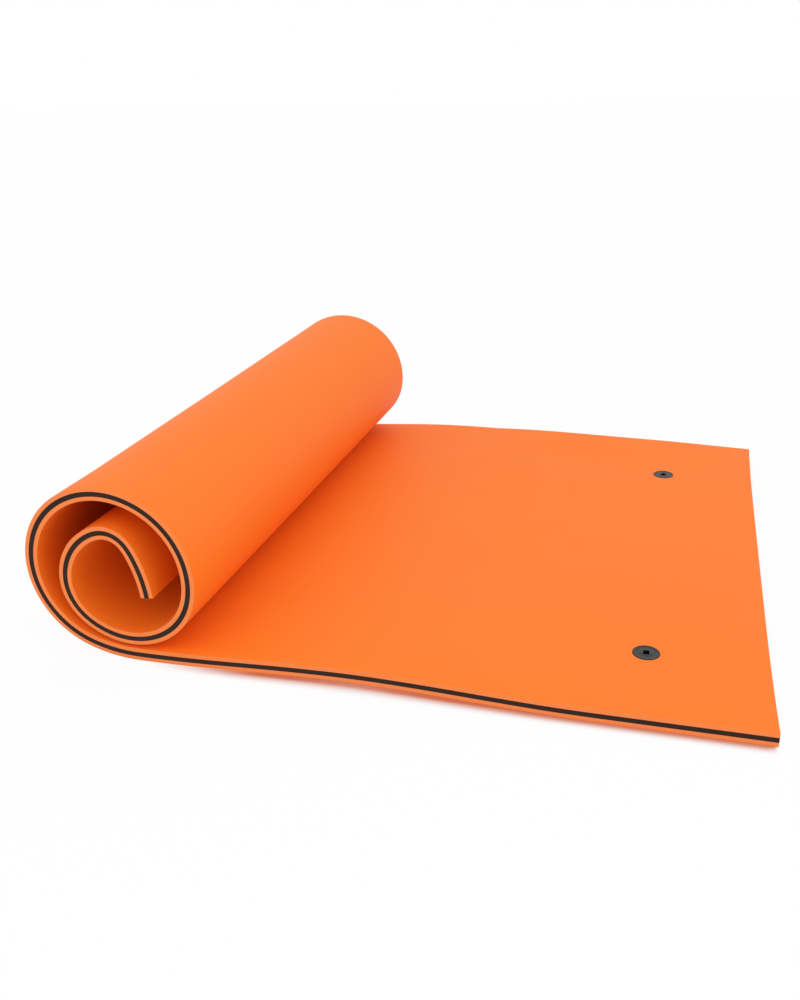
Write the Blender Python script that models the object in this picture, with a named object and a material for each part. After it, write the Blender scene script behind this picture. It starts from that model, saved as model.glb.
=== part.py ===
# A swim float mat: three bonded foam sheets, half rolled up, with two tether grommets at the flat end.
# Metres, +Z up. X runs along the mat from the roll to the flat end, Y across it, and Z = 0 is the floor.
# The origin is at the centre of the mat's bottom.
import math

import bmesh
import bpy

# The foam sheets, full length and width, one over the other with a bond line between them.
mat_length = 3.66
mat_width = 1.83
bottom_sheet_thickness = 0.011
core_sheet_thickness = 0.0129
top_sheet_thickness = 0.011
bond_gap = 0.0003

# The rolled stretch follows a chain of bends, from its foot on the floor, round the outer wrap and in to the
# free end. A bend's radius, to the middle of the mat, is a share of the roll's.
roll_radius = 0.2215
bend_radius_shares = (1.7, 1.0, 0.79, 0.85, 0.61, 0.74, 0.315, 1.65)
bend_turns = (20.0, 260.0, 60.0, 61.0, 59.0, 58.0, 84.0, 22.0)
roll_skew = 0.047

# Between the roll's foot and the flat pad that holds the grommets, the mat keeps a low wave.
wave_height = 0.018
pad_margin = 0.066

# Two grommets, each an upper and a lower flange that clamp the foam round a barrel.
grommet_end_inset = 0.302
near_side_inset = 0.278
far_side_inset = 0.324
flange_radius = 0.034
flange_thickness = 0.004
flange_edge_bevel = 0.0012
flange_standout = 0.0006
floor_clearance = 0.0005
barrel_radius = 0.0124
snap_ridge_height = 0.0006
snap_ridge_width = 0.0012
tether_hole_width = 0.015
tether_hole_length = 0.019
tether_hole_corner_radius = 0.0025
tether_hole_bevel = 0.0008
fit_gap = 0.0003
cut_overrun = 0.01

# Facets, and the angle over which an edge is shaded sharp.
bend_step_degrees = 4.0
wave_steps = 32
flange_segments = 48
sharp_edge_degrees = 30.0

# Colours and roughness.
orange_foam_colour = (0.90, 0.22, 0.045)
orange_foam_roughness = 0.75
black_foam_colour = (0.035, 0.022, 0.018)
black_foam_roughness = 0.85
plastic_colour = (0.07, 0.07, 0.075)
plastic_roughness = 0.45

mat_thickness = bottom_sheet_thickness + core_sheet_thickness + top_sheet_thickness + 2 * bond_gap
bend_radii = [share * roll_radius for share in bend_radius_shares]
rolled_length = sum(radius * math.radians(turn) for radius, turn in zip(bend_radii, bend_turns))
flat_run = mat_length - rolled_length
pad_length = grommet_end_inset + flange_radius + pad_margin
wave_length = flat_run - pad_length


def flat_stations():
    """(x, height of the mat's middle, heading, share of the skew) from the flat end to the roll's foot.

    Headings are in radians and point along the mat, towards the roll."""
    stations = [(0.0, mat_thickness / 2, math.pi, 0.0)]
    for step in range(wave_steps + 1):
        share = step / wave_steps
        phase = 2 * math.pi * share
        lift = wave_height * (1 - math.cos(phase)) / 2
        slope = wave_height * math.pi * math.sin(phase) / wave_length
        x = -pad_length - share * wave_length
        stations.append((x, mat_thickness / 2 + lift, math.pi - math.atan(slope), share))
    return stations


def roll_stations():
    """The same four values along the chain of bends, which all turn the same way, up and over."""
    x, z = -flat_run, mat_thickness / 2
    heading = math.pi
    stations = []
    for radius, turn in zip(bend_radii, bend_turns):
        centre_x = x + radius * math.sin(heading)
        centre_z = z - radius * math.cos(heading)
        steps = math.ceil(turn / bend_step_degrees)
        for step in range(1, steps + 1):
            angle = heading - math.radians(turn) * step / steps
            x = centre_x - radius * math.sin(angle)
            z = centre_z + radius * math.cos(angle)
            stations.append((x, z, angle, 1.0))
        heading -= math.radians(turn)
    return stations


def extent_along_x(stations):
    """The lowest and highest x of the whole laminate, skew included."""
    half = mat_thickness / 2
    reach = [abs(math.sin(heading)) * half for _, _, heading, _ in stations]
    lowest = min(station[0] - side for station, side in zip(stations, reach))
    highest = max(station[0] + side for station, side in zip(stations, reach))
    return lowest, highest


stations = flat_stations() + roll_stations()
lowest_x, highest_x = extent_along_x(stations)
flat_end_x = -(lowest_x + highest_x) / 2
grommet_x = flat_end_x - grommet_end_inset


def clear_scene():
    for obj in list(bpy.data.objects):
        bpy.data.objects.remove(obj, do_unlink=True)


def principled(name, colour, roughness):
    material = bpy.data.materials.new(name)
    material.use_nodes = True
    shader = material.node_tree.nodes["Principled BSDF"]
    shader.inputs["Base Color"].default_value = (*colour, 1.0)
    shader.inputs["Roughness"].default_value = roughness
    shader.inputs["Metallic"].default_value = 0.0
    material.diffuse_color = (*colour, 1.0)
    return material


def add_object(name, mesh, material, parent):
    mesh.materials.clear()
    mesh.materials.append(material)
    obj = bpy.data.objects.new(name, mesh)
    obj.parent = parent
    bpy.context.scene.collection.objects.link(obj)
    return obj


def add_empty(name, location=(0.0, 0.0, 0.0), parent=None):
    empty = bpy.data.objects.new(name, None)
    empty.location = location
    empty.parent = parent
    bpy.context.scene.collection.objects.link(empty)
    return empty


def mesh_of(bm, name):
    bmesh.ops.recalc_face_normals(bm, faces=bm.faces)
    mesh = bpy.data.meshes.new(name)
    bm.to_mesh(mesh)
    bm.free()
    mesh.shade_smooth()
    mesh.set_sharp_from_angle(angle=math.radians(sharp_edge_degrees))
    return mesh


def sheet_mesh(name, low, high):
    """A sheet that lies from low to high over the mat's underside, all along the stations."""
    bm = bmesh.new()
    columns = []
    for x, z, heading, share in stations:
        column = []
        for side in (0.0, 1.0):
            for height in (low, high):
                offset = height - mat_thickness / 2
                column.append(
                    bm.verts.new(
                        (
                            flat_end_x + x + math.sin(heading) * offset + roll_skew * share * side,
                            mat_width * (side - 0.5),
                            z - math.cos(heading) * offset,
                        )
                    )
                )
        columns.append(column)
    ring = (0, 1, 3, 2)
    for column, following in zip(columns, columns[1:]):
        for a, b in zip(ring, ring[1:] + ring[:1]):
            bm.faces.new((column[a], column[b], following[b], following[a]))
    bm.faces.new([columns[0][i] for i in ring])
    bm.faces.new([columns[-1][i] for i in ring])
    return mesh_of(bm, name)


def round_ring(radius, z):
    """Points of a circle at height z."""
    angles = [2 * math.pi * i / flange_segments for i in range(flange_segments)]
    return [(radius * math.cos(angle), radius * math.sin(angle), z) for angle in angles]


def hole_ring(grown, z):
    """Points of the tether hole's outline, grown by a bevel, at the same angles as a circle's."""
    corner = tether_hole_corner_radius + grown
    inner_x = tether_hole_width / 2 - tether_hole_corner_radius
    inner_y = tether_hole_length / 2 - tether_hole_corner_radius
    points = []
    for x, y, _ in round_ring(1.0, z):
        along_x, along_y = abs(x), abs(y)
        miss = inner_x * along_y - inner_y * along_x
        if (inner_x + corner) * along_y < inner_y * along_x:
            reach = (inner_x + corner) / along_x
        elif (inner_y + corner) * along_x < inner_x * along_y:
            reach = (inner_y + corner) / along_y
        else:
            reach = inner_x * along_x + inner_y * along_y + math.sqrt(corner**2 - miss**2)
        points.append((reach * x, reach * y, z))
    return points


def ringed_mesh(name, rings, hollow):
    """A skin over rings of points, closed from its last ring to its first if hollow, and capped if solid."""
    bm = bmesh.new()
    loops = [[bm.verts.new(point) for point in ring] for ring in rings]
    pairs = list(zip(loops, loops[1:]))
    if hollow:
        pairs.append((loops[-1], loops[0]))
    else:
        bm.faces.new(loops[0])
        bm.faces.new(loops[-1])
    for loop, following in pairs:
        for i in range(flange_segments):
            j = (i + 1) % flange_segments
            bm.faces.new((loop[i], loop[j], following[j], following[i]))
    return mesh_of(bm, name)


flange_face = mat_thickness + flange_standout
upper_seat = flange_face - flange_thickness
lower_seat = floor_clearance + flange_thickness
ridge_middle = floor_clearance + flange_thickness / 2
ridge_low = ridge_middle - snap_ridge_width / 2
ridge_high = ridge_middle + snap_ridge_width / 2


def upper_flange_mesh():
    """A flange with the tether hole through it and a barrel under it, down to the lower flange's face."""
    rim = flange_radius - flange_edge_bevel
    ridge_radius = barrel_radius + snap_ridge_height
    rings = [
        hole_ring(0.0, floor_clearance),
        hole_ring(0.0, flange_face - tether_hole_bevel),
        hole_ring(tether_hole_bevel, flange_face),
        round_ring(rim, flange_face),
        round_ring(flange_radius, flange_face - flange_edge_bevel),
        round_ring(flange_radius, upper_seat),
        round_ring(barrel_radius, upper_seat),
        round_ring(barrel_radius, ridge_high + snap_ridge_height),
        round_ring(ridge_radius, ridge_high),
        round_ring(ridge_radius, ridge_low),
        round_ring(barrel_radius, ridge_low - snap_ridge_height),
        round_ring(barrel_radius, floor_clearance),
    ]
    return ringed_mesh("upper_flange", rings, hollow=True)


def lower_flange_mesh():
    """A flange whose socket goes round the barrel's end, with a groove for the snap ridge."""
    socket_radius = barrel_radius + fit_gap
    groove_radius = socket_radius + snap_ridge_height
    rim = flange_radius - flange_edge_bevel
    rings = [
        round_ring(socket_radius, floor_clearance),
        round_ring(socket_radius, ridge_low - snap_ridge_height),
        round_ring(groove_radius, ridge_low),
        round_ring(groove_radius, ridge_high),
        round_ring(socket_radius, ridge_high + snap_ridge_height),
        round_ring(socket_radius, lower_seat),
        round_ring(flange_radius, lower_seat),
        round_ring(flange_radius, floor_clearance + flange_edge_bevel),
        round_ring(rim, floor_clearance),
    ]
    return ringed_mesh("lower_flange", rings, hollow=True)


def seat_cutter_mesh():
    """The room that a grommet takes from the foam: two seats and the barrel's hole."""
    seat_radius = flange_radius + fit_gap
    hole_radius = barrel_radius + fit_gap
    rings = [
        round_ring(seat_radius, -cut_overrun),
        round_ring(seat_radius, lower_seat + fit_gap),
        round_ring(hole_radius, lower_seat + fit_gap),
        round_ring(hole_radius, upper_seat - fit_gap),
        round_ring(seat_radius, upper_seat - fit_gap),
        round_ring(seat_radius, mat_thickness + cut_overrun),
    ]
    return ringed_mesh("seat_cutter", rings, hollow=False)


def build_sheets(mat):
    orange = principled("orange_foam", orange_foam_colour, orange_foam_roughness)
    black = principled("black_foam", black_foam_colour, black_foam_roughness)
    core_low = bottom_sheet_thickness + bond_gap
    top_low = core_low + core_sheet_thickness + bond_gap
    sheets = []
    for name, low, thickness, material in (
        ("foam_bottom_sheet", 0.0, bottom_sheet_thickness, orange),
        ("foam_core_sheet", core_low, core_sheet_thickness, black),
        ("foam_top_sheet", top_low, top_sheet_thickness, orange),
    ):
        sheets.append(add_object(name, sheet_mesh(name, low, low + thickness), material, mat))
    return sheets


def build_grommets(mat, sheets):
    plastic = principled("dark_plastic", plastic_colour, plastic_roughness)
    upper_mesh = upper_flange_mesh()
    lower_mesh = lower_flange_mesh()
    cutter_mesh = seat_cutter_mesh()
    for side, y in (
        ("near", near_side_inset - mat_width / 2),
        ("far", mat_width / 2 - far_side_inset),
    ):
        place = add_empty(f"{side}_grommet", (grommet_x, y, 0.0), mat)
        add_object(f"{side}_grommet_upper_flange", upper_mesh, plastic, place)
        add_object(f"{side}_grommet_lower_flange", lower_mesh, plastic, place)
        cutter = add_object(f"{side}_seat_cutter", cutter_mesh, plastic, place)
        cutter.hide_render = True
        cutter.display_type = "WIRE"
        for sheet in sheets:
            seat = sheet.modifiers.new(f"{side}_grommet_seat", "BOOLEAN")
            seat.operation = "DIFFERENCE"
            seat.solver = "EXACT"
            seat.object = cutter


clear_scene()
mat = add_empty("swim_float_mat")
build_grommets(mat, build_sheets(mat))
print(f"mat {mat_length:.3f} x {mat_width:.3f} x {mat_thickness:.4f} m, {rolled_length:.3f} m rolled up")
print(f"flat end at x {flat_end_x:.4f}, grommets at x {grommet_x:.4f}, their faces at z {flange_face:.4f}")
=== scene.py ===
import math

import bmesh
import bpy
from mathutils import Matrix, Vector


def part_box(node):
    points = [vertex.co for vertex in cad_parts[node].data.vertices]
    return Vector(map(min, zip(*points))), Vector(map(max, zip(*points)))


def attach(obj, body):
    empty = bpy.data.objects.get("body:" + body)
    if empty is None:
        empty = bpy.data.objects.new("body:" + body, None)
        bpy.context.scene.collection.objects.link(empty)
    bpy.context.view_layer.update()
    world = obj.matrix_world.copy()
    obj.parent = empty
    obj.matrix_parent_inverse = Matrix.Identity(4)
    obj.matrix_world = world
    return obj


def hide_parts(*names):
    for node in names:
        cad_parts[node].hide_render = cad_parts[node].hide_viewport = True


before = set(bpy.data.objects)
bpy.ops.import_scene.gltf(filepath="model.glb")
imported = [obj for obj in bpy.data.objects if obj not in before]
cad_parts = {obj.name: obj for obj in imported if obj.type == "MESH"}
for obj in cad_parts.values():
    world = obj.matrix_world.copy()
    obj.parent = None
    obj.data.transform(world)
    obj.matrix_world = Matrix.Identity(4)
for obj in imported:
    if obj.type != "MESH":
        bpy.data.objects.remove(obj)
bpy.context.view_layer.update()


# One way to build every node, and plain sums on their sockets.


class Wire:
    # an output socket that takes part in sums
    def __init__(self, graph, node, socket):
        self.graph, self.node, self.socket = graph, node, socket

    def of(self, name):
        return Wire(self.graph, self.node, self.node.outputs[name])

    def maths(self, operation, *values):
        return self.graph.node("ShaderNodeMath", {"operation": operation}, values)

    def vectors(self, operation, *values):
        return self.graph.node("ShaderNodeVectorMath", {"operation": operation}, values)

    def combine(self, operation, first, second):
        sockets = [w.socket.type for w in (first, second) if isinstance(w, Wire)]
        return (self.vectors if "VECTOR" in sockets else self.maths)(operation, first, second)

    def __add__(self, other):
        return self.combine("ADD", self, other)

    def __radd__(self, other):
        return self.combine("ADD", other, self)

    def __sub__(self, other):
        return self.combine("SUBTRACT", self, other)

    def __rsub__(self, other):
        return self.combine("SUBTRACT", other, self)

    def __mul__(self, other):
        return self.combine("MULTIPLY", self, other)

    def __rmul__(self, other):
        return self.combine("MULTIPLY", other, self)

    def __truediv__(self, other):
        return self.combine("DIVIDE", self, other)

    def __pow__(self, other):
        return self.maths("POWER", self, other)

    def __gt__(self, other):
        return self.maths("GREATER_THAN", self, other)

    def __lt__(self, other):
        return self.maths("LESS_THAN", self, other)

    def atMost(self, other):
        return self.combine("MINIMUM", self, other)

    def atLeast(self, other):
        return self.combine("MAXIMUM", self, other)

    def scaled(self, factor):
        values = {"Vector": self, "Scale": factor}
        return self.graph.node("ShaderNodeVectorMath", {"operation": "SCALE"}, values)

    def ramp(self, start, end):
        # smoothly from 0 at start to 1 at end
        settings = {"interpolation_type": "SMOOTHSTEP"}
        values = {"Value": self, "From Min": start, "From Max": end}
        return self.graph.node("ShaderNodeMapRange", settings, values)

    def xyz(self):
        parts = self.graph.node("ShaderNodeSeparateXYZ", {}, [self])
        return parts.of("X"), parts.of("Y"), parts.of("Z")


class Graph:
    def __init__(self, tree):
        self.tree = tree

    def node(self, kind, settings=None, values=()):
        node = self.tree.nodes.new(kind)
        for name, value in (settings or {}).items():
            setattr(node, name, value)
        for key, value in values.items() if isinstance(values, dict) else enumerate(values):
            if isinstance(value, Wire):
                self.tree.links.new(value.socket, node.inputs[key])
            else:
                node.inputs[key].default_value = value
        shown = [socket for socket in node.outputs if socket.enabled]
        return Wire(self, node, shown[0]) if shown else None

    def vector(self, x, y, z):
        return self.node("ShaderNodeCombineXYZ", {}, [x, y, z])

    def mixColour(self, factor, first, second, blend="MIX"):
        settings = {"data_type": "RGBA", "blend_type": blend}
        colours = [c if isinstance(c, Wire) else (*c, 1.0) for c in (first, second)]
        return self.node("ShaderNodeMix", settings, {0: factor, 6: colours[0], 7: colours[1]})


# The mat, in metres and degrees: a flat pad with the grommets, a low wave, then a chain of bends up,
# over and in.

mat = {
    "length": 3.6645,
    "thickness": 0.0355,
    "padLength": 0.402,
    "waveHeight": 0.018,
    "rollRadius": 0.2215,
    "bendRadiusShares": (1.7, 1.0, 0.79, 0.85, 0.61, 0.74, 0.315, 1.65),
    "bendTurns": (20.0, 260.0, 60.0, 61.0, 59.0, 58.0, 85.0, 22.5),
    "bendBlend": 0.024,  # over which one bend eases into the next
    "skew": 0.047,  # how much nearer to the grommets the roll's far end is
    "edgeRound": 0.0012,
    "firstRow": 0.586,  # about 1 - tan 22.5 degrees, which spaces the rows of the round edges alike
    "farLift": 0.014,  # the far edge stands off the floor a little, and a little less by the roll
    "farLiftLength": 0.99,
    "farLiftWidth": 0.29,
    "rollLift": 0.0055,
    "liftPowers": (1.15, 1.5),  # how peaked the two lifts are
    "rollSag": 0.0045,  # how much lower the roll lies behind its near rim, as a share of its height
    "rollTaper": 0.0105,  # how much taller than that its far end is
    "rimReach": 0.12,  # the share of the width over which the rim falls off
    "rimRise": 0.5,  # how far the rim stands up, as a share of the sag
    "endBow": 0.0017,  # the flat end is cut a little hollow, and its corners stand out
    "endFlare": 0.0068,
    "endReach": 0.26,
    "unevenness": 0.0007,
    "unevennessSpan": 0.3,
    "padFade": (0.06, 0.10),  # it comes in from this far before the pad's end to this far after
    "padCalm": 0.15,  # the share of it that is left on the pad
    "rowsAlong": 560,
    "rowsAcross": 61,
    "rowsDeep": 7,
    "pathStep": 0.002,
    "sharpAngle": 35.0,
}

# From the floor up, each sheet's faces as heights in the mat.
sheets = {
    "foam_bottom": {"node": "foam_bottom_sheet", "low": 0.0, "high": 0.01115, "finish": "orange"},
    "foam_core": {"node": "foam_core_sheet", "low": 0.0112, "high": 0.0243, "finish": "black"},
    "foam_top": {"node": "foam_top_sheet", "low": 0.02435, "high": 0.0355, "finish": "orange"},
}

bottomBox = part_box("foam_bottom_sheet")
flatEnd = bottomBox[1].x
matWidth = bottomBox[1].y - bottomBox[0].y
bendRadii = [share * mat["rollRadius"] for share in mat["bendRadiusShares"]]
bendLengths = [radius * math.radians(turn) for radius, turn in zip(bendRadii, mat["bendTurns"])]
waveLength = mat["length"] - sum(bendLengths) - mat["padLength"]
waveSlack = (math.pi * mat["waveHeight"]) ** 2 / (4 * waveLength)  # what the wave takes up of the length
flatRun = mat["padLength"] + waveLength + waveSlack


def heading(distance):
    # which way the mat's middle points in the XZ plane, at a distance from the flat end
    if distance < mat["padLength"]:
        return math.pi
    if distance < flatRun:
        share = (distance - mat["padLength"]) / (waveLength + waveSlack)
        slope = mat["waveHeight"] * math.pi / waveLength * math.sin(2 * math.pi * share)
        return math.pi - math.atan(slope)
    turned, start = 0.0, flatRun
    for length, turn in zip(bendLengths, mat["bendTurns"]):
        turned += turn * min(max((distance - start) / length, 0.0), 1.0)
        start += length
    return math.pi - math.radians(turned)


def matPath():
    # points along the mat's middle, walked from the flat end, with each bend eased into the next
    step = mat["pathStep"]
    count = round(mat["length"] / step)
    headings = [heading((i + 0.5) * step) for i in range(count)]
    x, z = flatEnd, mat["thickness"] / 2
    points = [(x, 0.0, z)]
    for i in range(count):
        reach = min(round(mat["bendBlend"] / step), i, count - 1 - i)
        near = headings[i - reach : i + reach + 1]
        eased = sum(near) / len(near)
        x += step * math.cos(eased)
        z += step * math.sin(eased)
        points.append((x, 0.0, z))
    return points


def linked(name, data):
    piece = bpy.data.objects.new(name, data)
    bpy.context.scene.collection.objects.link(piece)
    return piece


def pathCurve():
    curve = bpy.data.curves.new("mat_path", "CURVE")
    curve.dimensions = "3D"
    points = matPath()
    spline = curve.splines.new("POLY")
    spline.points.add(len(points) - 1)
    for made, point in zip(spline.points, points):
        made.co = (*point, 1.0)
    return linked("mat_path", curve)


# The grommets: an upper plate with a tether hole and a barrel, and a lower plate snapped on to it.

grommet = {
    "plateRadius": 0.034,
    "plateThickness": 0.004,
    "standout": 0.0006,
    "rimRound": 0.0013,
    "rimWidth": 0.0026,
    "dishDepth": 0.0005,
    "collarRadius": 0.0136,
    "slope": 0.0008,
    "floorGap": 0.0005,
    "barrelRadius": 0.0124,
    "ridgeHeight": 0.0006,
    "ridgeWidth": 0.0012,
    "holeWidth": 0.015,
    "holeLength": 0.019,
    "holeCorner": 0.0025,
    "holeRound": 0.0008,
    "socketGap": 0.0003,
    "segments": 96,
    "roundSteps": 4,
}

# Where the foam is pressed in round a plate.
seat = {
    "gap": 0.0007,
    "lipRound": 0.0016,
    "dipDepth": 0.0006,
    "dipWidth": 0.020,
    "dipSteps": 6,
    "dipClear": 0.06,  # how far past the skin the dip's rim ends, as a share of its depth
    "overrun": 0.01,
}


def middleOf(node):
    low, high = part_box(node)
    return (low + high) / 2


grommetPlaces = {side: middleOf(f"{side}_grommet_upper_flange") for side in ("near", "far")}
plateFace = mat["thickness"] + grommet["standout"]
upperSeat = plateFace - grommet["plateThickness"]
lowerSeat = grommet["floorGap"] + grommet["plateThickness"]


def circle(radius, z):
    count = grommet["segments"]
    turns = [2 * math.pi * i / count for i in range(count)]
    return [(radius * math.cos(turn), radius * math.sin(turn), z) for turn in turns]


def holeOutline(growth, z):
    # the tether hole grown all round, with a point at each of the circle's angles, so that they bridge
    corner = grommet["holeCorner"] + growth
    innerX = grommet["holeWidth"] / 2 - grommet["holeCorner"]
    innerY = grommet["holeLength"] / 2 - grommet["holeCorner"]
    points = []
    for x, y, _ in circle(1.0, z):
        partX, partY = abs(x), abs(y)
        if (innerX + corner) * partY < innerY * partX:
            reach = (innerX + corner) / partX
        elif (innerY + corner) * partX < innerX * partY:
            reach = (innerY + corner) / partY
        else:
            miss = innerX * partY - innerY * partX
            reach = innerX * partX + innerY * partY + math.sqrt(corner**2 - miss**2)
        points.append((reach * x, reach * y, z))
    return points


def quarter(radius, z, size, start):
    # (radius, z) points of a quarter turn of that size round a centre, from start degrees upwards
    steps = grommet["roundSteps"]
    turns = [math.radians(start + 90 * i / steps) for i in range(steps + 1)]
    return [(radius + size * math.cos(turn), z + size * math.sin(turn)) for turn in turns]


def addRings(bm, rings, centre, hollow):
    loops = [[bm.verts.new(Vector(point) + centre) for point in ring] for ring in rings]
    pairs = list(zip(loops, loops[1:]))
    if hollow:
        pairs.append((loops[-1], loops[0]))
    else:
        bm.faces.new(loops[0])
        bm.faces.new(loops[-1])
    for loop, following in pairs:
        for i in range(len(loop)):
            j = (i + 1) % len(loop)
            bm.faces.new((loop[i], loop[j], following[j], following[i]))


def meshPiece(name, bm, materials=()):
    bmesh.ops.recalc_face_normals(bm, faces=bm.faces)
    mesh = bpy.data.meshes.new(name)
    bm.to_mesh(mesh)
    bm.free()
    mesh.shade_smooth()
    mesh.set_sharp_from_angle(angle=math.radians(mat["sharpAngle"]))
    for material in materials:
        mesh.materials.append(material)
    return linked(name, mesh)


def seatCutter():
    # what the grommets take from the flat mat, which runs along +X from its flat end
    wall = grommet["plateRadius"] + seat["gap"]
    hole = grommet["barrelRadius"] + seat["gap"]
    lip = wall + seat["lipRound"]
    lipTop = mat["thickness"] - seat["dipDepth"]
    outline = [(wall, -seat["overrun"]), (wall, lowerSeat), (hole, lowerSeat)]
    outline += [(hole, upperSeat), (wall, upperSeat)]
    outline += reversed(quarter(lip, lipTop - seat["lipRound"], seat["lipRound"], 90))
    for i in range(1, seat["dipSteps"] + 1):
        share = i / seat["dipSteps"]
        rise = seat["dipDepth"] * math.sin(share * math.pi / 2)
        outline.append((lip + seat["dipWidth"] * share, lipTop + rise * (1 + seat["dipClear"] * share)))
    outline.append((outline[-1][0], mat["thickness"] + seat["overrun"]))
    bm = bmesh.new()
    for place in grommetPlaces.values():
        centre = Vector((flatEnd - place.x, place.y, 0.0))
        addRings(bm, [circle(radius, z) for radius, z in outline], centre, hollow=False)
    return meshPiece("seat_cutter", bm)


def sheetTree():
    # a flat slab with rounded cut edges and the grommets' seats, bent along the path
    tree = bpy.data.node_groups.new("rolled foam sheet", "GeometryNodeTree")
    graph = Graph(tree)
    tree.interface.new_socket("Geometry", in_out="OUTPUT", socket_type="NodeSocketGeometry")
    kinds = {
        "Path": "NodeSocketObject",
        "Seats": "NodeSocketObject",
        "Material": "NodeSocketMaterial",
        "Rows Along": "NodeSocketInt",
        "Rows Across": "NodeSocketInt",
        "Rows Deep": "NodeSocketInt",
    }
    names = ["Length", "Width", "Mat Thickness", "Low Face", "High Face", "Edge Round"]
    names += ["Pad Length", "Flat Run", "Skew", "Far Lift", "Far Lift Length", "Far Lift Width", "Roll Lift"]
    names += ["Roll Sag", "Roll Taper", "Rim Reach", "Rim Rise"]
    names += ["End Bow", "End Flare", "End Reach", "Unevenness", "Unevenness Span"]
    for name in names + list(kinds):
        tree.interface.new_socket(name, in_out="INPUT", socket_type=kinds.get(name, "NodeSocketFloat"))
    given = graph.node("NodeGroupInput")
    length, width, thickness = given.of("Length"), given.of("Width"), given.of("Mat Thickness")
    low, high, band = given.of("Low Face"), given.of("High Face"), given.of("Edge Round")
    rows = [given.of(name) for name in ("Rows Along", "Rows Across", "Rows Deep")]

    slab = graph.node("GeometryNodeMeshCube", {}, [graph.vector(1.0, 1.0, 1.0), *rows])

    def spread(share, count, span):
        # two close rows inside the rounded band at each edge, and the rest spaced alike
        firstRow = mat["firstRow"]
        row = share * (count - 1)
        fromEdge = row.atMost(count - 1 - row)
        first, second = fromEdge.atMost(1.0), (fromEdge - 1).atMost(1.0).atLeast(0.0)
        pitch = (span - 2 * band) / (count - 5)
        reach = band * (firstRow * first + (1 - firstRow) * second) + pitch * (fromEdge - 2).atLeast(0.0)
        return reach + (share > 0.5) * (span - 2 * reach)

    x, y, z = graph.node("GeometryNodeInputPosition").xyz()
    spaced = graph.vector(
        spread(x + 0.5, rows[0], length),
        spread(y + 0.5, rows[1], width) - width / 2,
        spread(z + 0.5, rows[2], high - low) + low,
    )
    slab = graph.node("GeometryNodeSetPosition", {}, {"Geometry": slab, "Position": spaced})

    # only the laminate's outer edges come out round: its three sheets stay flush at the bonds
    place = graph.node("GeometryNodeInputPosition")
    inner = place.atLeast(graph.vector(band, band - width / 2, band))
    inner = inner.atMost(graph.vector(length - band, width / 2 - band, thickness - band))
    outward = place - inner
    reach = graph.node("ShaderNodeVectorMath", {"operation": "LENGTH"}, [outward]).of("Value")
    rounded = inner + outward.scaled((band / reach.atLeast(1e-6)).atMost(1.0))
    slab = graph.node("GeometryNodeSetPosition", {}, {"Geometry": slab, "Position": rounded})

    seats = graph.node("GeometryNodeObjectInfo", {}, {"Object": given.of("Seats")}).of("Geometry")
    cut = graph.node(
        "GeometryNodeMeshBoolean",
        {"operation": "DIFFERENCE", "solver": "EXACT"},
        {"Mesh 1": slab, "Mesh 2": seats},
    )
    flatPlace = {"data_type": "FLOAT_VECTOR", "domain": "POINT"}
    values = {"Geometry": cut, "Name": "flatPlace", "Value": graph.node("GeometryNodeInputPosition")}
    cut = graph.node("GeometryNodeStoreNamedAttribute", flatPlace, values)

    along, across, height = graph.node("GeometryNodeInputPosition").xyz()
    path = graph.node("GeometryNodeObjectInfo", {}, {"Object": given.of("Path")}).of("Geometry")
    sample = graph.node("GeometryNodeSampleCurve", {"mode": "LENGTH"}, {"Curves": path, "Length": along})
    pathX, _, pathZ = sample.of("Position").xyz()
    tangentX, _, tangentZ = sample.of("Tangent").xyz()

    span = given.of("Unevenness Span")
    where = graph.vector(along / span, across / span, 0.0)
    noise = graph.node("ShaderNodeTexNoise", {}, {"Vector": where, "Scale": 1.0, "Detail": 1.0})
    padLength, flatLength = given.of("Pad Length"), given.of("Flat Run")
    offPad = along.ramp(padLength - mat["padFade"][0], padLength + mat["padFade"][1])
    calm = mat["padCalm"]
    unevenness = (noise - 0.5) * given.of("Unevenness") * 2 * (calm + (1 - calm) * offPad)
    offset = height - thickness / 2 + unevenness

    share = ((along - padLength) / (flatLength - padLength)).atLeast(0.0).atMost(1.0)
    fromNear = across / width + 0.5
    skew = given.of("Skew") * share * fromNear
    outer = across.ramp(width / 2 - given.of("Far Lift Width"), width / 2)
    lifted = given.of("Far Lift Length")
    toRoll = (along - lifted) / (flatLength - lifted)
    phases = [phase.atLeast(0.0).atMost(1.0) * math.pi for phase in (along / lifted, toRoll)]
    swells = [phase.maths("SINE", phase) for phase in phases]
    farSwell, rollSwell = [swell**power for swell, power in zip(swells, mat["liftPowers"])]
    lift = (given.of("Far Lift") * farSwell + given.of("Roll Lift") * rollSwell) * outer

    aside = across / (width / 2)
    atEnd = (1 - along / given.of("End Reach")).atLeast(0.0) ** 2.0
    flare = atEnd * (given.of("End Flare") * (aside * aside) ** 2.0 - given.of("End Bow"))
    rise = given.of("Rim Rise")
    sag = given.of("Roll Sag") * ((1 + rise) * fromNear.ramp(0.0, given.of("Rim Reach")) - rise)
    taller = 1 + share * (given.of("Roll Taper") * fromNear**2.0 - sag)
    bent = graph.vector(
        pathX + tangentZ * offset + skew + flare,
        across,
        (pathZ - tangentX * offset) * taller + lift,
    )
    sheet = graph.node("GeometryNodeSetPosition", {}, {"Geometry": cut, "Position": bent})
    # the path runs backwards along X, which mirrors the slab, so its faces are turned out again
    sheet = graph.node("GeometryNodeFlipFaces", {}, {"Mesh": sheet})

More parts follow.
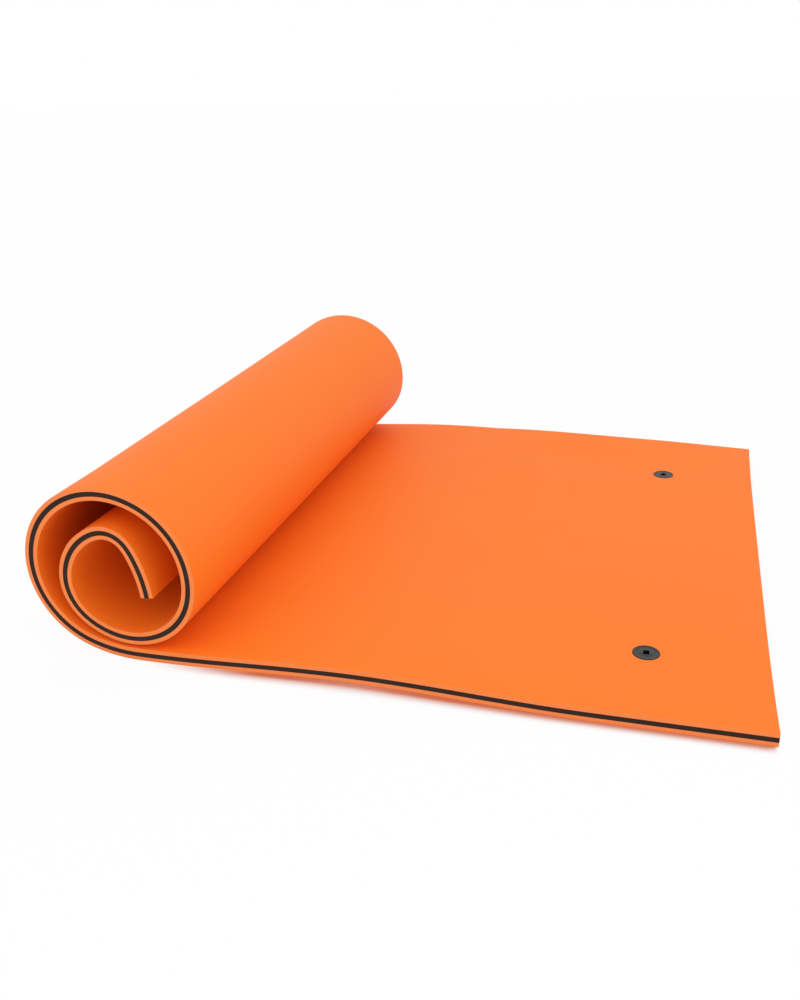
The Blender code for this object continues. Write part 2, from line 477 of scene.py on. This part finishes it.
    angle = graph.node("GeometryNodeInputMeshEdgeAngle").of("Unsigned Angle")
    soft = angle < math.radians(mat["sharpAngle"])
    for domain, smooth in (("FACE", True), ("EDGE", soft)):
        values = {"Geometry": sheet, "Shade Smooth": smooth}
        sheet = graph.node("GeometryNodeSetShadeSmooth", {"domain": domain}, values)
    sheet = graph.node("GeometryNodeRealizeInstances", {}, {"Geometry": sheet})
    sheet = graph.node("GeometryNodeSetMaterial", {}, {"Geometry": sheet, "Material": given.of("Material")})
    graph.node("NodeGroupOutput", {}, {"Geometry": sheet})
    return tree


def grown(name, tree, values):
    # the mesh that the tree makes, with the modifier gone
    host = linked("host", bpy.data.meshes.new("host"))
    modifier = host.modifiers.new("tree", "NODES")
    modifier.node_group = tree
    for item in tree.interface.items_tree:
        if item.in_out == "INPUT" and item.name in values:
            modifier[item.identifier] = values[item.name]
    graph = bpy.context.evaluated_depsgraph_get()
    made = host.evaluated_get(graph)
    mesh = bpy.data.meshes.new_from_object(made, preserve_all_data_layers=True, depsgraph=graph)
    bpy.data.objects.remove(host)
    mesh.name = name
    return linked(name, mesh)


# Materials.

foam = {
    "orange": (0.945, 0.189, 0.009),
    "orangeCut": (0.96, 0.246, 0.062),
    "black": (0.0207, 0.0100, 0.0062),
    "gloss": 0.31,
    "skinRoughness": 0.62,
    "cutRoughness": 0.85,
    "roughnessSpread": 0.08,
    "cellSize": 0.0011,
    "cellShine": 1.6,  # how much lighter the black foam is between its cells
    "grainSize": 0.0022,
    "reliefHeight": 0.0005,
    "cutDepth": 1.0,
    "cutContrast": 0.12,
    "skinDepth": 0.4,
    "mottleSize": 0.22,
    "mottle": 0.04,
}

plastic = {
    "colour": (0.026, 0.026, 0.026),
    # the tether hole's walls are painted darker than the face: painted shade down the hole
    "paintedBoreShade": (0.006, 0.006, 0.006),
    "gloss": 0.32,
    "boreGloss": 0.1,
    "roughness": 0.42,
    "grainSize": 0.0007,
    "grainDepth": 0.25,
    "grainHeight": 0.0002,
    "wearScale": 120.0,  # patches of wear in a metre
    "wearTone": 0.3,
    "wearRoughness": 0.16,
}


def newMaterial(name):
    material = bpy.data.materials.new(name)
    material.use_nodes = True
    material.node_tree.nodes.clear()
    return material, Graph(material.node_tree)


def finishMaterial(graph, shader):
    graph.node("ShaderNodeOutputMaterial", {}, {"Surface": shader})


def cutMask(place):
    # 1 on the cut faces all round the mat, 0 on its skins
    along, across, _ = place.xyz()
    edge = along.atMost(mat["length"] - along)
    edge = edge.atMost(across + matWidth / 2).atMost(matWidth / 2 - across)
    return 1 - edge.ramp(0.1 * mat["edgeRound"], 0.7 * mat["edgeRound"])


def foamMaterial(finish):
    material, graph = newMaterial(f"{finish} foam")
    place = graph.node("ShaderNodeAttribute", {"attribute_name": "flatPlace"}).of("Vector")
    cut = cutMask(place)
    values = {"Vector": place, "Scale": 1 / foam["cellSize"]}
    cells = graph.node("ShaderNodeTexVoronoi", {}, values).of("Distance")
    values = {"Vector": place, "Scale": 1 / foam["grainSize"], "Detail": 3.0}
    fine = graph.node("ShaderNodeTexNoise", {}, values)
    values = {"Vector": place, "Scale": 1 / foam["mottleSize"], "Detail": 4.0}
    broad = graph.node("ShaderNodeTexNoise", {}, values)
    if finish == "orange":
        colour = graph.mixColour(cut, foam["orange"], foam["orangeCut"])
    else:
        colour = graph.mixColour(cells, foam["black"], [foam["cellShine"] * value for value in foam["black"]])
    tone = 1 + foam["mottle"] * (broad - 0.5) - foam["cutContrast"] * cut * cells
    colour = graph.mixColour(1.0, colour, graph.vector(tone, tone, tone), "MULTIPLY")
    rougher = foam["cutRoughness"] - foam["skinRoughness"]
    roughness = foam["skinRoughness"] + rougher * cut + foam["roughnessSpread"] * (fine - 0.5)
    relief = cut * cells * foam["cutDepth"] + (1 - cut) * fine * foam["skinDepth"]
    values = {"Strength": 0.5, "Distance": foam["reliefHeight"], "Height": relief}
    bump = graph.node("ShaderNodeBump", {}, values)
    values = {"Base Color": colour, "Roughness": roughness, "Normal": bump}
    shader = graph.node("ShaderNodeBsdfPrincipled", {}, values)
    shader.node.inputs["Specular IOR Level"].default_value = foam["gloss"]
    finishMaterial(graph, shader)
    return material


def plasticMaterial(name, colour, gloss):
    material, graph = newMaterial(name)
    place = graph.node("ShaderNodeTexCoord").of("Object")
    values = {"Vector": place, "Scale": 1 / plastic["grainSize"], "Detail": 2.0}
    grain = graph.node("ShaderNodeTexNoise", {}, values)
    values = {"Vector": place, "Scale": plastic["wearScale"], "Detail": 5.0}
    wear = graph.node("ShaderNodeTexNoise", {}, values)
    tone = 1 - plastic["wearTone"] / 2 + plastic["wearTone"] * wear
    colour = graph.mixColour(1.0, colour, graph.vector(tone, tone, tone), "MULTIPLY")
    values = {"Strength": plastic["grainDepth"], "Distance": plastic["grainHeight"], "Height": grain}
    bump = graph.node("ShaderNodeBump", {}, values)
    roughness = plastic["roughness"] + plastic["wearRoughness"] * (wear - 0.5)
    values = {"Base Color": colour, "Roughness": roughness, "Normal": bump}
    shader = graph.node("ShaderNodeBsdfPrincipled", {}, values)
    shader.node.inputs["Specular IOR Level"].default_value = gloss
    finishMaterial(graph, shader)
    return material


def settle(piece, node):
    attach(piece, "root")
    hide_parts(node)


def makeSheets():
    tree = sheetTree()
    path, seats = pathCurve(), seatCutter()
    materials = {finish: foamMaterial(finish) for finish in ("orange", "black")}
    for name, sheet in sheets.items():
        values = {
            "Path": path,
            "Seats": seats,
            "Material": materials[sheet["finish"]],
            "Length": mat["length"],
            "Width": matWidth,
            "Mat Thickness": mat["thickness"],
            "Low Face": sheet["low"],
            "High Face": sheet["high"],
            "Edge Round": mat["edgeRound"],
            "Pad Length": mat["padLength"],
            "Flat Run": flatRun,
            "Skew": mat["skew"],
            "Far Lift": mat["farLift"],
            "Far Lift Length": mat["farLiftLength"],
            "Far Lift Width": mat["farLiftWidth"],
            "Roll Lift": mat["rollLift"],
            "Roll Sag": mat["rollSag"],
            "Roll Taper": mat["rollTaper"],
            "Rim Reach": mat["rimReach"],
            "Rim Rise": mat["rimRise"],
            "End Bow": mat["endBow"],
            "End Flare": mat["endFlare"],
            "End Reach": mat["endReach"],
            "Unevenness": mat["unevenness"],
            "Unevenness Span": mat["unevennessSpan"],
            "Rows Along": mat["rowsAlong"],
            "Rows Across": mat["rowsAcross"],
            "Rows Deep": mat["rowsDeep"],
        }
        piece = grown(name, tree, values)
        settle(piece, sheet["node"])
        print(f"{name}: {len(piece.data.polygons)} faces")
    bpy.data.objects.remove(path)
    bpy.data.objects.remove(seats)


def ridgeBounds():
    # how far the snap ridge stands out of the barrel, and the heights between which it does
    middle = grommet["floorGap"] + grommet["plateThickness"] / 2
    half = grommet["ridgeWidth"] / 2
    return grommet["ridgeHeight"], middle - half, middle + half


def upperPlate():
    # (radius, z) from the hole's edge out over the face and rim, then in underneath and down the barrel
    size = grommet["holeRound"]
    rings = [holeOutline(0.0, grommet["floorGap"])]
    for growth, z in reversed(quarter(size, plateFace - size, size, 90)):
        rings.append(holeOutline(growth, z))
    radius, rim = grommet["plateRadius"], grommet["rimRound"]
    dish = plateFace - grommet["dishDepth"]
    rimStart = radius - rim - grommet["rimWidth"]
    outline = [(grommet["collarRadius"], plateFace), (grommet["collarRadius"] + grommet["slope"], dish)]
    outline += [(rimStart - grommet["slope"], dish), (rimStart, plateFace)]
    outline += reversed(quarter(radius - rim, plateFace - rim, rim, 0))
    outline += [(radius, upperSeat), (grommet["barrelRadius"], upperSeat)]
    ridge, bottom, top = ridgeBounds()
    barrel = grommet["barrelRadius"]
    outline += [(barrel, top + ridge), (barrel + ridge, top), (barrel + ridge, bottom)]
    outline += [(barrel, bottom - ridge), (barrel, grommet["floorGap"])]
    return rings + [circle(radius, z) for radius, z in outline]


def lowerPlate():
    socket = grommet["barrelRadius"] + grommet["socketGap"]
    ridge, bottom, top = ridgeBounds()
    radius, rim = grommet["plateRadius"], grommet["rimRound"]
    outline = [(socket, grommet["floorGap"]), (socket, bottom - ridge), (socket + ridge, bottom)]
    outline += [(socket + ridge, top), (socket, top + ridge), (socket, lowerSeat), (radius, lowerSeat)]
    outline += reversed(quarter(radius - rim, grommet["floorGap"] + rim, rim, -90))
    return [circle(radius, z) for radius, z in outline]


def shadeBoreWalls(bm, centre):
    # the tether hole's walls get the second material, whose darker colour is painted shade down the hole
    for face in bm.faces:
        aside = (face.calc_center_median() - centre).xy.length
        if aside < grommet["barrelRadius"] and abs(face.normal.z) < 0.5:
            face.material_index = 1


def makeGrommets():
    face = plasticMaterial("dark moulded plastic", plastic["colour"], plastic["gloss"])
    # the second material paints shade on the tether hole's walls
    shadedBore = plasticMaterial("tether hole plastic with painted shade", plastic["paintedBoreShade"], plastic["boreGloss"])
    for side, place in grommetPlaces.items():
        centre = Vector((place.x, place.y, 0.0))
        for half, rings in (("upper", upperPlate()), ("lower", lowerPlate())):
            bm = bmesh.new()
            addRings(bm, rings, centre, hollow=True)
            bm.normal_update()
            if half == "upper":
                shadeBoreWalls(bm, centre)
            piece = meshPiece(f"{side}_{half}_plate", bm, [face, shadedBore] if half == "upper" else [face])
            settle(piece, f"{side}_grommet_{half}_flange")
    print("grommets made")


# The studio.

studio = {
    "floorSize": 60.0,
    "floorDrop": 0.0004,
    "floorColour": (0.90, 0.90, 0.90),
    "floorWhite": 0.93,  # how far the camera sees the floor as plain white
    # the contact shadow on the floor is painted into its colour from an occlusion test, not cast by the lamps
    "shadowReach": 0.036,
    "shadowLean": (0.35, 0.55, 0.75),  # the side that the painted shadow leans away from, as if a light stood there
    "shadowFrom": (-0.66, -0.30),  # along X, where it comes in by the roll's foot
    "shadowTo": (0.935, 0.955),  # and where it goes out at the flat end
    "shadowTint": (0.64, 0.15, 0.06),  # the painted shadow's colour where the floor is most closed in, orange as if lit by the foam
    "shadowCore": 0.44,  # how open the floor is there, with 1 for fully open
    "shadowFall": 2.0,  # how fast the tint fades out as the floor opens
    "worldStrength": 1.0,
    # each softbox: its place, what it points at, its size and its power
    "frontSoftbox": ((-0.6, -3.0, 3.0), (-0.4, 0.0, 0.2), 2.0, 13.0),
    "rightSoftbox": ((2.5, -1.5, 2.5), (-0.4, 0.0, 0.2), 2.0, 7.0),
}

# Its place in metres, its turns in degrees and its lens in millimetres.
camera = {
    "place": (0.6553, -2.9429, 1.4477),
    "turned": 15.893,
    "tipped": 23.573,
    "rolled": -1.576,
    "lens": 36.727,
}


def seenDirectly(graph):
    # 1 for what the camera sees, straight, in a reflection or through something clear
    rays = graph.node("ShaderNodeLightPath")
    seen = rays.of("Is Camera Ray").atLeast(rays.of("Is Glossy Ray"))
    return seen.atLeast(rays.of("Is Transmission Ray"))


def makeFloor():
    half = studio["floorSize"] / 2
    bm = bmesh.new()
    corners = ((-half, -half), (half, -half), (half, half), (-half, half))
    bm.faces.new([bm.verts.new((x, y, -studio["floorDrop"])) for x, y in corners])
    material, graph = newMaterial("studio floor")
    paint = graph.node("ShaderNodeBsdfDiffuse", {}, {"Color": (*studio["floorColour"], 1.0)})
    # painted shadow: where an occlusion test finds the mat close by, the floor's colour is darkened and
    # tinted orange
    values = {"Distance": studio["shadowReach"], "Normal": graph.vector(*studio["shadowLean"])}
    openness = graph.node("ShaderNodeAmbientOcclusion", {"samples": 16}, values).of("AO")
    along, _, _ = graph.node("ShaderNodeTexCoord").of("Object").xyz()
    shaded = along.ramp(*studio["shadowFrom"]) * (1 - along.ramp(*studio["shadowTo"]))
    closed = ((1 - openness) / (1 - studio["shadowCore"])).atMost(1.0)
    shade = graph.mixColour(closed ** studio["shadowFall"] * shaded, (1.0, 1.0, 1.0), studio["shadowTint"])
    whiteWithPaintedShadow = graph.node("ShaderNodeEmission", {}, {"Color": shade, "Strength": 1.0})
    share = seenDirectly(graph) * studio["floorWhite"]
    finishMaterial(graph, graph.node("ShaderNodeMixShader", {}, {0: share, 1: paint, 2: whiteWithPaintedShadow}))
    meshPiece("studio_floor", bm, [material])


def makeLights():
    world = bpy.data.worlds.new("studio")
    world.use_nodes = True
    world.node_tree.nodes.clear()
    graph = Graph(world.node_tree)
    values = {"Color": (1.0, 1.0, 1.0, 1.0), "Strength": studio["worldStrength"]}
    sky = graph.node("ShaderNodeBackground", {}, values)
    graph.node("ShaderNodeOutputWorld", {}, {"Surface": sky})
    bpy.context.scene.world = world
    for name in ("frontSoftbox", "rightSoftbox"):
        place, target, size, power = studio[name]
        lamp = bpy.data.lights.new(name, "AREA")
        lamp.shape = "SQUARE"
        lamp.size = size
        lamp.energy = power
        placed = linked(name, lamp)
        placed.location = place
        placed.rotation_euler = (Vector(target) - Vector(place)).to_track_quat("-Z", "Y").to_euler()


def makeCamera():
    data = bpy.data.cameras.new("camera")
    data.sensor_width = 36.0
    data.lens = camera["lens"]
    data.clip_end = 200.0
    seen = linked("camera", data)
    turned = Matrix.Rotation(math.radians(camera["turned"]), 4, "Z")
    tipped = Matrix.Rotation(math.radians(90.0 - camera["tipped"]), 4, "X")
    rolled = Matrix.Rotation(math.radians(camera["rolled"]), 4, "Z")
    seen.matrix_world = Matrix.Translation(camera["place"]) @ turned @ tipped @ rolled
    bpy.context.scene.camera = seen


makeSheets()
makeGrommets()
makeFloor()
makeLights()
makeCamera()
bpy.context.scene.view_settings.view_transform = "Standard"
print("scene ready")
